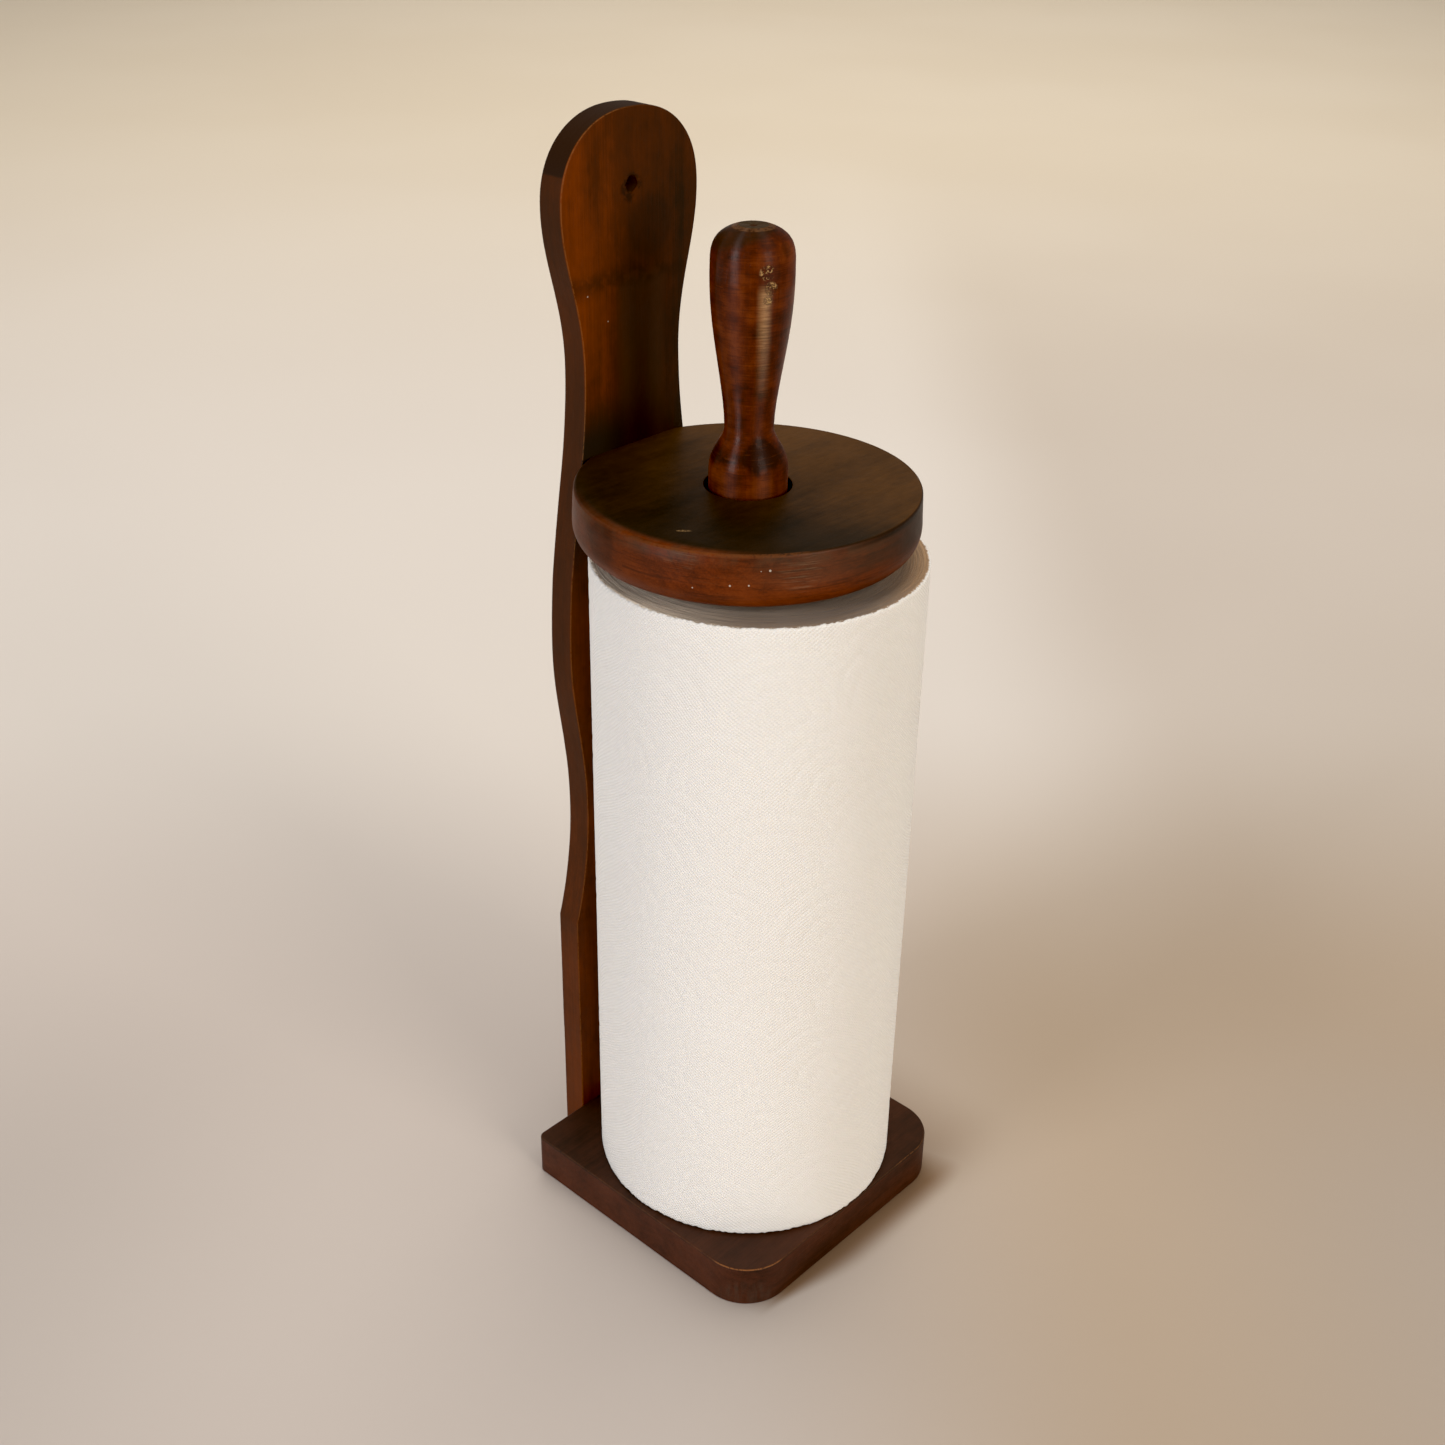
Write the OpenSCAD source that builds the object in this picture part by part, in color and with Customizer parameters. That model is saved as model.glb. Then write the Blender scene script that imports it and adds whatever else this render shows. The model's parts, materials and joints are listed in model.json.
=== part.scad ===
// Free-standing wooden paper towel holder, loaded with a roll.
// The origin is on the floor, on the spindle's axis. +Z is up, and the back board stands behind, at +Y.
// Lengths are in millimetres.

/* [Base plank] */
// Width of the base, left to right
base_w = 128; // [120:1:150]
// Depth of the base, from its front edge to the back board
base_d = 126; // [118:1:140]
// Thickness of the base
base_t = 19.2; // [16:0.1:25]
// Radius of the base's two front corners
front_corner_r = 20; // [8:1:35]
// Radius of the base's two back corners
back_corner_r = 3.5; // [1:0.5:8]

/* [Back board] */
// Distance from the spindle's axis to the board's front face
board_y = 58.5; // [55:0.5:65]
// Thickness of the board
board_t = 11.2; // [9:0.1:20]
// Height of the board's top above the floor
board_h = 447.8; // [440:0.1:470]
// Radius of the hanging hole
hang_hole_r = 3; // [2:0.1:5]
// Height of the hanging hole above the floor
hang_hole_z = 421.2; // [410:0.1:430]

/* [Top disc] */
// Radius of the disc at its crisp top edge
disc_r = 63.2; // [60:0.1:66]
// Thickness of the disc
disc_t = 22.2; // [21:0.1:24]
// Height of the disc's top face above the floor
disc_top_z = 324.6; // [322:0.1:328]
// Radius of the hole that the spindle drops through
disc_hole_r = 16; // [15.2:0.1:18]

/* [Spindle] */
// Radius of the plain dowel
dowel_r = 14.4; // [12:0.1:15]
// Height of the handle's top above the floor
handle_top_z = 417.5; // [412:0.1:426]
// Depth of the blind hole in the base that the dowel stands in
socket_depth = 10; // [6:0.5:14]
// Gap all round the dowel in that hole
socket_gap = 0.3; // [0.3:0.1:1]

/* [Roll] */
// Outer radius of the paper roll
roll_r = 63.2; // [50:0.1:63.2]
// Height of the roll
roll_h = 279.4; // [270:0.1:280]
// Outer radius of the cardboard core
core_r = 21.5; // [21:0.1:22.5]
// Wall thickness of the cardboard core
core_wall = 1; // [0.6:0.1:1.4]
// How far the loose roll sits to the right of the spindle's axis
roll_x = 1.3; // [-1.5:0.1:1.5]
// How far the loose roll sits in front of the spindle's axis
roll_forward = 5.1; // [5.1:0.1:5.3]

/* [Screws] */
// Length of the two screws that hold the board to the base
base_screw_l = 38; // [32:1:45]
// Length of the two screws that hold the board to the disc
disc_screw_l = 32; // [28:1:36]
// Distance between the two screws of a pair that holds the base
base_screw_gap = 44; // [30:1:50]
// Distance between the two screws of a pair that holds the disc
disc_screw_gap = 26; // [18:1:30]

/* [Hidden] */
$fn = 96;

front_y = board_y - base_d;
back_y = board_y + board_t;
disc_bottom_z = disc_top_z - disc_t;
socket_floor_z = base_t - socket_depth;
// A hair under the roll, so that it turns without rubbing
roll_lift = 0.3;
// How far a cut runs past the face it opens in
past = 1;

// The board's outline, from the floor up: half-widths and the heights where they are reached
foot_half = 36.6;
foot_top_z = 119;
waist_half = 28.8;
waist_z = 171;
belly_half = 35.5;
belly_z = 245;
neck_half = 24.4;
neck_z = 357;
head_half = 33.9;
head_z = 416;
// Each wave of the outline starts a little slower than it ends
wave_skew = 1.1;
// The crown is a little squarer than an ellipse
crown_power = 2.25;
outline_step = 1 / 12;

// The disc's edge, turned on a lathe: it bulges a little and rolls under at the bottom
disc_bulge = 0.5;
disc_under_r = 9.5;
disc_arris_r = 1;

// The handle, turned on the same piece as the dowel. Heights are measured down from its flat tip.
collar_drop = 88;
neck_drop = 71;
neck_r = 8.85;
collar_skew = 1.35;
knob_drop = 16.5;
knob_r = 14.7;
grip_skew = 0.85;
// The knob's dome is a superellipse, nearly straight up the side and rounded at the top
knob_side_power = 4.5;
knob_top_power = 1.7;
tip_r = 5.6;
// The small chamfer at the dowel's lower end
dowel_chamfer = 1.2;
turning_steps = 12;

// Wood screws: an 82 degree countersunk head with a slot, a plain shank and a point
base_screw_r = 2.1;
disc_screw_r = 1.75;
screw_head_ratio = 2;
screw_point_ratio = 2.5;
screw_sink = 0.6;
slot_w = 1;
slot_depth = 1;
// The slots stop at an angle that nobody lined up
slot_turn = 35;
base_screw_z = base_t / 2;
disc_screw_z = disc_bottom_z + disc_t / 2;
// The pilot holes are narrower than the screws, whose threads bite
pilot_ratio = 0.85;
// The board is drilled and countersunk a little clear of the screws
board_hole_gap = 0.2;
countersink_gap = 0.05;

// A smooth half-wave from a to b as t runs from 0 to 1
function ease(a, b, t) = a + (b - a) * (1 - cos(180 * t)) / 2;

// Points of a smooth half-wave between two half-widths, without its first point
function wave(half_a, z_a, half_b, z_b) =
    [for (t = [outline_step : outline_step : 1.001])
        [ease(half_a, half_b, pow(t, wave_skew)), z_a + (z_b - z_a) * t]];

// The sweep that narrows the foot to the waist, steepest at the foot's corner
function foot_sweep() =
    [for (t = [0 : outline_step : 1.001])
        [waist_half + (foot_half - waist_half) * pow(1 - t, 2), foot_top_z + (waist_z - foot_top_z) * t]];

// The crown, a quarter of a superellipse
function crown() =
    [for (a = [6 : 6 : 90])
        [head_half * pow(max(cos(a), 0), 2 / crown_power),
         head_z + (board_h - head_z) * pow(sin(a), 2 / crown_power)]];

// The right half of the outline, from the floor up to the crown
function board_half() = concat(
    [[foot_half, 0]],
    foot_sweep(),
    wave(waist_half, waist_z, belly_half, belly_z),
    wave(belly_half, belly_z, neck_half, neck_z),
    wave(neck_half, neck_z, head_half, head_z),
    crown());

// Both halves, back down to the floor on the left
function board_outline() =
    let (half = board_half())
    concat(half, [for (i = [len(half) - 2 : -1 : 0]) [-half[i][0], half[i][1]]]);

// Points on a circular arc from angle a0 to a1
function arc(cx, cz, r, a0, a1, n) =
    [for (i = [0 : n]) let (a = a0 + (a1 - a0) * i / n) [cx + r * cos(a), cz + r * sin(a)]];

// The disc's profile, from its axis out along the bottom, up the edge and back along the top
function disc_profile() = concat(
    [[0, disc_bottom_z]],
    arc(disc_r + disc_bulge - disc_under_r, disc_bottom_z + disc_under_r, disc_under_r, -90, 0, 12),
    arc(disc_r - disc_arris_r, disc_top_z - disc_arris_r, disc_arris_r, 0, 90, 5),
    [[0, disc_top_z]]);

// The collar rounds the dowel over and sweeps it in to the neck
function collar(z0, z1) =
    [for (i = [0 : turning_steps])
        [ease(dowel_r, neck_r, pow(i / turning_steps, collar_skew)), z0 + (z1 - z0) * i / turning_steps]];

// The grip swells from the neck to the knob
function grip(z0, z1) =
    [for (i = [1 : turning_steps])
        [ease(neck_r, knob_r, pow(i / turning_steps, grip_skew)), z0 + (z1 - z0) * i / turning_steps]];

// The knob's dome, up to the edge of its flat tip
function knob(z0, z1) =
    let (tip_angle = acos(pow(tip_r / knob_r, knob_top_power / 2)),
         dome_h = (z1 - z0) / pow(sin(tip_angle), 2 / knob_side_power))
    [for (i = [1 : turning_steps])
        let (a = tip_angle * i / turning_steps)
        [knob_r * pow(cos(a), 2 / knob_top_power), z0 + dome_h * pow(sin(a), 2 / knob_side_power)]];

// The spindle's profile, from its foot in the base up to the flat tip
function spindle_profile() =
    let (top = handle_top_z)
    concat(
        [[0, socket_floor_z], [dowel_r - dowel_chamfer, socket_floor_z],
         [dowel_r, socket_floor_z + dowel_chamfer]],
        collar(top - collar_drop, top - neck_drop),
        grip(top - neck_drop, top - knob_drop),
        knob(top - knob_drop, top),
        [[0, top]]);

// The plank seen from above: straight sides between four rounded corners
module base_outline() {
    half = base_w / 2;
    front = front_corner_r;
    back = back_corner_r;
    for (side = [-1, 1]) {
        translate([side * (half - front), front_y + front]) circle(front);
        translate([side * (half - back), board_y - back]) circle(back);
    }
    polygon([[-half, front_y + front], [-half + front, front_y], [half - front, front_y],
             [half, front_y + front], [half, board_y - back], [half - back, board_y],
             [-half + back, board_y], [-half, board_y - back]]);
}

// Puts its children at both screws of a pair, on the board's back face, pointing forwards
module at_screws(gap, z) {
    for (side = [-1, 1])
        translate([side * gap / 2, back_y - screw_sink, z])
            rotate([90, side * slot_turn, 0]) children();
}

// A countersunk wood screw along +Z, with the flat of its head at z = 0
module screw(r, length) {
    head_r = r * screw_head_ratio;
    difference() {
        rotate_extrude()
            polygon([[0, 0], [head_r, 0], [r, head_r - r], [r, length - r * screw_point_ratio],
                     [0, length]]);
        translate([-head_r - past, -slot_w / 2, -past])
            cube([2 * (head_r + past), slot_w, slot_depth + past]);
    }
}

// The hole in the board that a screw passes through, countersunk at the back
module board_screw_hole(r) {
    head_r = r * screw_head_ratio + countersink_gap;
    translate([0, 0, -past]) cylinder(r = r + board_hole_gap, h = board_t + 2 * past);
    rotate_extrude()
        polygon([[0, -screw_sink - past], [head_r, -screw_sink - past], [head_r, 0],
                 [0, head_r]]);
}

// The pilot hole that a screw's threads bite into
module pilot_hole(r, length) {
    cylinder(r = r * pilot_ratio, h = length + past);
}

module base_plank() {
    color("saddlebrown")
    difference() {
        linear_extrude(base_t) base_outline();
        translate([0, 0, socket_floor_z]) cylinder(r = dowel_r + socket_gap, h = socket_depth + past);
        at_screws(base_screw_gap, base_screw_z) pilot_hole(base_screw_r, base_screw_l);
    }
}

module back_board() {
    color("sienna")
    difference() {
        translate([0, back_y, 0]) rotate([90, 0, 0])
            linear_extrude(board_t) polygon(board_outline());
        translate([0, back_y + past, hang_hole_z]) rotate([90, 0, 0])
            cylinder(r = hang_hole_r, h = board_t + 2 * past);
        at_screws(base_screw_gap, base_screw_z) board_screw_hole(base_screw_r);
        at_screws(disc_screw_gap, disc_screw_z) board_screw_hole(disc_screw_r);
    }
}

module top_disc() {
    flat_w = 2 * disc_r;
    color("saddlebrown")
    difference() {
        rotate_extrude() polygon(disc_profile());
        translate([0, 0, disc_bottom_z - past]) cylinder(r = disc_hole_r, h = disc_t + 2 * past);
        translate([-flat_w / 2, board_y, disc_bottom_z - past])
            cube([flat_w, disc_r, disc_t + 2 * past]);
        at_screws(disc_screw_gap, disc_screw_z) pilot_hole(disc_screw_r, disc_screw_l);
    }
}

module spindle() {
    color("sienna") rotate_extrude() polygon(spindle_profile());
}

module base_screws() {
    color("goldenrod") at_screws(base_screw_gap, base_screw_z) screw(base_screw_r, base_screw_l);
}

module disc_screws() {
    color("goldenrod") at_screws(disc_screw_gap, disc_screw_z) screw(disc_screw_r, disc_screw_l);
}

module at_roll() {
    translate([roll_x, -roll_forward, base_t + roll_lift]) children();
}

module cardboard_core() {
    color("tan") at_roll() difference() {
        cylinder(r = core_r, h = roll_h);
        translate([0, 0, -past]) cylinder(r = core_r - core_wall, h = roll_h + 2 * past);
    }
}

module paper_roll() {
    color("ivory") at_roll() difference() {
        cylinder(r = roll_r, h = roll_h);
        translate([0, 0, -past]) cylinder(r = core_r, h = roll_h + 2 * past);
    }
}

base_plank();
back_board();
top_disc();
spindle();
base_screws();
disc_screws();
cardboard_core();
paper_roll();
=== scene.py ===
"""The looks of a wooden paper towel holder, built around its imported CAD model. Lengths are in metres."""

import json
import math

import bmesh
import bpy
import numpy as np
from mathutils import Matrix, Vector, noise


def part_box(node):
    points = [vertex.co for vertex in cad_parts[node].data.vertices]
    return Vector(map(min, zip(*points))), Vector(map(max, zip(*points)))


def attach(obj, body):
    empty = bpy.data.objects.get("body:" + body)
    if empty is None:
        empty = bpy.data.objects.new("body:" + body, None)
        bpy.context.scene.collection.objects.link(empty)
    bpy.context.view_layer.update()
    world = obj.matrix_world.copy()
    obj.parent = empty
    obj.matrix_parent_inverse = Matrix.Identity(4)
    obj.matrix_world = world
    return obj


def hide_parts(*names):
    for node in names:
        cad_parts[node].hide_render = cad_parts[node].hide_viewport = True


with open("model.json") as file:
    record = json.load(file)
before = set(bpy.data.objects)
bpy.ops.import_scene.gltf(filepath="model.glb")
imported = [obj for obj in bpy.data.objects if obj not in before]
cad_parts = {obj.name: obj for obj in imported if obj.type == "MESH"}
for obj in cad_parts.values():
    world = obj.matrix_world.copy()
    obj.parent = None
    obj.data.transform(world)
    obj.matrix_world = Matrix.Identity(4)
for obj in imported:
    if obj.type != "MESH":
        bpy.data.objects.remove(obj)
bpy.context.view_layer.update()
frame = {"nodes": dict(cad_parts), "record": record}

MM = 0.001

# The CAD boxes, all read from the frame
BASE_LO, BASE_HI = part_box("base_plank")
BOARD_LO, BOARD_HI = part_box("back_board")
DISC_LO, DISC_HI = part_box("top_disc")
SPINDLE_LO, SPINDLE_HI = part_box("spindle")
CORE_LO, CORE_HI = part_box("cardboard_core")
ROLL_LO, ROLL_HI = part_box("paper_roll")
ROLL_AXIS = ((ROLL_LO.x + ROLL_HI.x) / 2, (ROLL_LO.y + ROLL_HI.y) / 2)
ROLL_R = (ROLL_HI.x - ROLL_LO.x) / 2
CORE_R = (CORE_HI.x - CORE_LO.x) / 2
HANG_HOLE = next(m for m in frame["record"]["mounts"] if m["name"] == "hang_hole")

# The same places in millimetres, which the materials work in
BOARD_FRONT = BOARD_LO.y / MM
HOLE_HEIGHT = HANG_HOLE["pos_m"][2] / MM
BASE_LEFT, BASE_RIGHT, BASE_FRONT = BASE_LO.x / MM, BASE_HI.x / MM, BASE_LO.y / MM
BASE_FOOT, BASE_TOP = BASE_LO.z / MM, BASE_HI.z / MM
DISC_FOOT, DISC_TOP = DISC_LO.z / MM, DISC_HI.z / MM
HANDLE_TOP = SPINDLE_HI.z / MM
ROLL_MM = ROLL_R / MM

# The camera that the photograph was taken with: its heading, dip and tilt in degrees, its lens in
# mm on a 36 mm sensor, and its place
CAMERA_HEADING, CAMERA_DIP, CAMERA_TILT = 47.45, 29.51, 0.91
CAMERA_LENS, CAMERA_SENSOR = 45.235, 36
CAMERA_PLACE = (-0.457, -0.4089, 0.5722)

# The photographer's right and the way that they look, across the floor
RIGHT = (0.676, -0.737)
AWAY = (0.737, 0.676)


# ---------------------------------------------------------------- camera, lights and floor

def add_object(name, data):
    made = bpy.data.objects.new(name, data)
    bpy.context.scene.collection.objects.link(made)
    return made


def add_camera():
    """The photograph's viewpoint: front left, looking down about 30 degrees."""
    yaw, pitch, tilt = (math.radians(angle) for angle in (CAMERA_HEADING, CAMERA_DIP, CAMERA_TILT))
    forward = Vector((math.sin(yaw) * math.cos(pitch), math.cos(yaw) * math.cos(pitch), -math.sin(pitch)))
    level = Vector((math.cos(yaw), -math.sin(yaw), 0))
    upright = level.cross(forward)
    right = math.cos(tilt) * level + math.sin(tilt) * upright
    up = math.cos(tilt) * upright - math.sin(tilt) * level
    data = bpy.data.cameras.new("camera")
    data.sensor_width = CAMERA_SENSOR
    data.lens = CAMERA_LENS
    camera = add_object("camera", data)
    turn = Matrix((right, up, -forward)).transposed().to_4x4()
    camera.matrix_world = Matrix.Translation(CAMERA_PLACE) @ turn
    bpy.context.scene.camera = camera


def add_area(name, place, aim, size, watts, colour, spread=180):
    """A soft rectangular light at place, facing aim, in a beam of spread degrees."""
    data = bpy.data.lights.new(name, "AREA")
    data.shape = "RECTANGLE"
    data.size, data.size_y = size
    data.energy = watts
    data.spread = math.radians(spread)
    data.color = colour
    light = add_object(name, data)
    light.location = place
    light.rotation_euler = (Vector(aim) - Vector(place)).to_track_quat("-Z", "Y").to_euler()
    return light


def add_lights():
    """Two soft windows, a ceiling and a backdrop light, in a dim warm room."""
    middle = (0, 0, 0.24)
    add_area("window_left", (-3.4, 0.45, 1.15), middle, (1.1, 1.9), 58, (0.95, 0.965, 1.0))
    add_area("window_front", (-0.25, -3.4, 1.25), middle, (1.3, 2.3), 66, (1.0, 0.92, 0.81))
    ceiling = add_area("ceiling", (0.9, 0.75, 3.0), (0.9, 0.75, 0), (2.6, 2.6), 70, (1.0, 0.95, 0.87))
    backdrop = add_area("backdrop", (2.9, 2.3, 2.4), (2.9, 2.3, 0), (3.0, 3.0), 15, (1.0, 0.94, 0.83),
                        spread=110)
    # the photograph shows no gloss from above
    ceiling.visible_glossy = False
    backdrop.visible_glossy = False
    world = bpy.data.worlds.new("room")
    bpy.context.scene.world = world
    world.use_nodes = True
    sky = world.node_tree.nodes["Background"]
    sky.inputs["Color"].default_value = (1.0, 0.93, 0.85, 1)
    sky.inputs["Strength"].default_value = 0.265


def set_tones():
    """Plain colours, with black a touch deeper."""
    view = bpy.context.scene.view_settings
    view.view_transform = "Standard"
    view.look = "None"
    view.use_curve_mapping = True
    view.curve_mapping.black_level = (0.005, 0.005, 0.005)
    view.curve_mapping.update()


# ---------------------------------------------------------------- a short hand for shader nodes

class Shader:
    """Builds one procedural material. Coordinates are the object's own, in millimetres."""

    def __init__(self, name, roughness, specular=0.5):
        self.material = bpy.data.materials.new(name)
        self.material.use_nodes = True
        self.tree = self.material.node_tree
        self.surface = self.tree.nodes["Principled BSDF"]
        self.fix("Roughness", roughness)
        self.fix("Specular IOR Level", specular)
        place = self.node("ShaderNodeTexCoord")
        self.normal = place.outputs["Normal"]
        self.mm = self.vector("SCALE", place.outputs["Object"], scale=1000)
        self.x, self.y, self.z = self.split(self.mm)
        self.colour = None

    def node(self, kind, **settings):
        made = self.tree.nodes.new(kind)
        for key, value in settings.items():
            setattr(made, key, value)
        return made

    def fix(self, name, value):
        """Sets one of the shader's own sockets to a number or a vector."""
        self.surface.inputs[name].default_value = value

    def put(self, socket, value):
        """Links a socket to another, or sets it to a number, vector or colour."""
        if isinstance(value, bpy.types.NodeSocket):
            self.tree.links.new(value, socket)
        else:
            socket.default_value = value

    def math(self, operation, a, b=0.0, c=0.0):
        made = self.node("ShaderNodeMath", operation=operation)
        for socket, value in zip(made.inputs, (a, b, c)):
            self.put(socket, value)
        return made.outputs[0]

    def plus(self, a, b):
        return self.math("ADD", a, b)

    def minus(self, a, b):
        return self.math("SUBTRACT", a, b)

    def times(self, value, *others):
        for other in others:
            value = self.math("MULTIPLY", value, other)
        return value

    def scaled(self, value, factor, extra):
        """value times factor, and then extra on top."""
        return self.math("MULTIPLY_ADD", value, factor, extra)

    def size(self, value):
        return self.math("ABSOLUTE", value)

    def opposite(self, mask):
        """1 where a mask is 0, and 0 where it is 1."""
        return self.math("SUBTRACT", 1.0, mask)

    def largest(self, value, *others):
        for other in others:
            value = self.math("MAXIMUM", value, other)
        return value

    def rightward(self, x, y):
        """How far a place lies to the photographer's right."""
        return self.scaled(x, RIGHT[0], self.times(y, RIGHT[1]))

    def away(self, x, y):
        """How far a place lies away from the photographer."""
        return self.scaled(x, AWAY[0], self.times(y, AWAY[1]))

    def vector(self, operation, a, b=(0, 0, 0), scale=1.0):
        made = self.node("ShaderNodeVectorMath", operation=operation)
        self.put(made.inputs[0], a)
        if operation == "SCALE":
            self.put(made.inputs["Scale"], scale)
        else:
            self.put(made.inputs[1], b)
        return made.outputs["Value" if operation in ("LENGTH", "DISTANCE") else "Vector"]

    def split(self, vector):
        made = self.node("ShaderNodeSeparateXYZ")
        self.put(made.inputs[0], vector)
        return made.outputs[0], made.outputs[1], made.outputs[2]

    def join(self, x, y, z):
        made = self.node("ShaderNodeCombineXYZ")
        for socket, value in zip(made.inputs, (x, y, z)):
            self.put(socket, value)
        return made.outputs[0]

    def noise(self, vector, scale=1.0, detail=2.0, rough=0.5, distortion=0.0):
        made = self.node("ShaderNodeTexNoise")
        self.put(made.inputs["Vector"], vector)
        made.inputs["Scale"].default_value = scale
        made.inputs["Detail"].default_value = detail
        made.inputs["Roughness"].default_value = rough
        made.inputs["Distortion"].default_value = distortion
        return made.outputs["Fac"]

    def stretched(self, vector, scale, detail, rough):
        """Noise at a scale of its own along each axis."""
        return self.noise(self.vector("MULTIPLY", vector, scale), 1.0, detail, rough)

    def step(self, value, low, high, to_low=0.0, to_high=1.0):
        """Goes smoothly from to_low to to_high as value goes from low to high."""
        made = self.node("ShaderNodeMapRange", interpolation_type="SMOOTHSTEP")
        for socket, number in zip(made.inputs, (value, low, high, to_low, to_high)):
            self.put(socket, number)
        return made.outputs[0]

    def fade(self, value, low, high):
        """1 up to low, and 0 from high on."""
        return self.step(value, low, high, 1.0, 0.0)

    def mix(self, share, a, b):
        made = self.node("ShaderNodeMix", data_type="RGBA", blend_type="MIX")
        self.put(made.inputs["Factor"], share)
        self.put(made.inputs["A"], a)
        self.put(made.inputs["B"], b)
        return made.outputs["Result"]

    def cover(self, share, over):
        """Lays another colour over the one so far. A share of 1 hides it."""
        self.colour = self.mix(share, self.colour, over)

    def tint(self, mask, share, over):
        """Lays another colour over the one so far where the mask says so."""
        self.cover(self.times(mask, share), over)

    def ramp(self, value, *stops):
        made = self.node("ShaderNodeValToRGB")
        self.put(made.inputs[0], value)
        points = made.color_ramp.elements
        while len(points) < len(stops):
            points.new(1)
        for point, (place, colour) in zip(points, stops):
            point.position = place
            point.color = colour
        return made.outputs[0]

    def end_grain(self, along):
        """1 on faces cut square across the grain, 0 on faces along it."""
        part = self.split(self.normal)["xyz".index(along)]
        return self.step(self.size(part), 0.35, 0.95)

    def attribute(self, name):
        return self.node("ShaderNodeAttribute", attribute_name=name).outputs["Fac"]

    def bump(self, height, distance, strength, below=None):
        made = self.node("ShaderNodeBump")
        made.inputs["Strength"].default_value = strength
        made.inputs["Distance"].default_value = distance
        self.put(made.inputs["Height"], height)
        if below is not None:
            self.put(made.inputs["Normal"], below)
        return made.outputs[0]

    def near(self, spot, reach):
        """1 within reach of a spot in millimetres, fading out over half as much again."""
        return self.step(self.vector("DISTANCE", self.mm, spot), reach, reach * 1.5, 1.0, 0.0)

    def finish(self, rough=None, normal=None):
        self.put(self.surface.inputs["Base Color"], self.colour)
        if rough is not None:
            self.put(self.surface.inputs["Roughness"], rough)
        if normal is not None:
            self.put(self.surface.inputs["Normal"], normal)
        return self.material


def rgb(red, green, blue):
    return (red, green, blue, 1.0)


# ---------------------------------------------------------------- materials

BARE_WOOD = rgb(0.42, 0.25, 0.1)
DUST = rgb(0.6, 0.55, 0.47)

# Growth rings: how far apart in mm, and how much they darken the wood. And how deep the grain is
RING_GAP = 3.4
RING_SHARE = 0.1
GRAIN_DEPTH = 0.05 * MM

# Places in the materials, in mm: the board's knot, the chip in the disc's top, and how far the
# handle's neck is below its top
KNOT_HEIGHT = 389.0
CHIP_PLACE = (-47.2, -13.4)
NECK_DEPTH = 79.5

# How far apart the paper's dots are, around and up the roll, and how far the seam of the core climbs
# in a turn, in mm
DOTS_APART = (1.7, 1.5)
SEAM_RISE = 78.0


def stained_wood(s, along, pith, dark, middle, light, shade, seed, grain_share):
    """Stain over wood whose grain runs along one axis. pith is where the ring centre lies across the
    grain, in mm. shade lightens or darkens the tone, and grain_share says how strongly the grain
    shows. Returns the colour and the relief."""
    across = {"x": (s.y, s.z, s.x), "y": (s.x, s.z, s.y), "z": (s.x, s.y, s.z)}[along]
    grain = s.vector("ADD", s.join(*across), (seed, seed * 1.7, seed * 2.3))

    # growth rings, wavering along the board
    waver = s.stretched(grain, (0.04, 0.04, 0.006), 2.0, 0.5)
    a = s.minus(across[0], pith[0])
    b = s.minus(across[1], pith[1])
    radius = s.math("SQRT", s.plus(s.times(a, a), s.times(b, b)))
    radius = s.scaled(waver, 22.0, radius)
    ring = s.math("FRACT", s.math("DIVIDE", radius, RING_GAP))
    late = s.times(s.step(ring, 0.2, 0.9), s.fade(ring, 0.9, 1.0))

    # broad bands, fine fibres, short pores, and stain that took unevenly
    bands = s.stretched(grain, (0.13, 0.13, 0.005), 2.0, 0.5)
    fibre = s.stretched(grain, (1.3, 1.3, 0.022), 4.0, 0.6)
    pore = s.stretched(grain, (3.1, 3.1, 0.16), 2.0, 0.5)
    pores = s.step(pore, 0.6, 0.7)
    blotch = s.stretched(grain, (0.045, 0.045, 0.022), 4.0, 0.55)
    mottle = s.stretched(grain, (0.35, 0.35, 0.2), 4.0, 0.6)
    tone = shade
    for pattern, strength in ((bands, 0.75 * grain_share), (fibre, 0.75 * grain_share),
                              (blotch, 0.7), (mottle, 0.35)):
        tone = s.scaled(s.minus(pattern, 0.5), strength, tone)
    tone = s.scaled(late, -RING_SHARE * grain_share, tone)
    tone = s.scaled(s.end_grain(along), -0.14, tone)
    colour = s.ramp(tone, (0.05, dark), (0.5, middle), (0.95, light))
    colour = s.mix(s.times(pores, 0.4 * grain_share), colour, dark)
    relief = s.scaled(pores, -0.6, s.scaled(late, 0.2, fibre))
    return colour, relief


def wear_edges(s, where, bare):
    """Rubs the stain off the sharp edges where the mask says so, leaving it ragged, and returns
    the mask of what is worn."""
    ragged = s.noise(s.mm, 0.9, 4.0, 0.65)
    worn = s.times(s.step(s.attribute("wear"), 0.86, 1.0), s.step(ragged, 0.36, 0.52), where)
    s.cover(worn, bare)
    return worn


def fleck(s, *specks):
    """Specks of dust and paint. Each is a place and a radius in mm."""
    flecks = s.largest(*[s.near(spot, reach) for spot, reach in specks])
    s.tint(flecks, 0.75, DUST)


def varnish(s, relief, roughness, worn):
    """Satin varnish with faint smears, over grain that stands a little proud."""
    smear = s.noise(s.mm, 0.05, 4.0, 0.6, 0.6)
    rough = s.scaled(smear, 0.24, roughness - 0.12)
    rough = s.scaled(worn, 0.15, rough)
    normal = s.bump(relief, GRAIN_DEPTH, 0.5)
    ripple = s.noise(s.mm, 0.22, 2.0, 0.5)
    normal = s.bump(ripple, 0.25 * MM, 0.35, normal)
    return rough, normal


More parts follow.
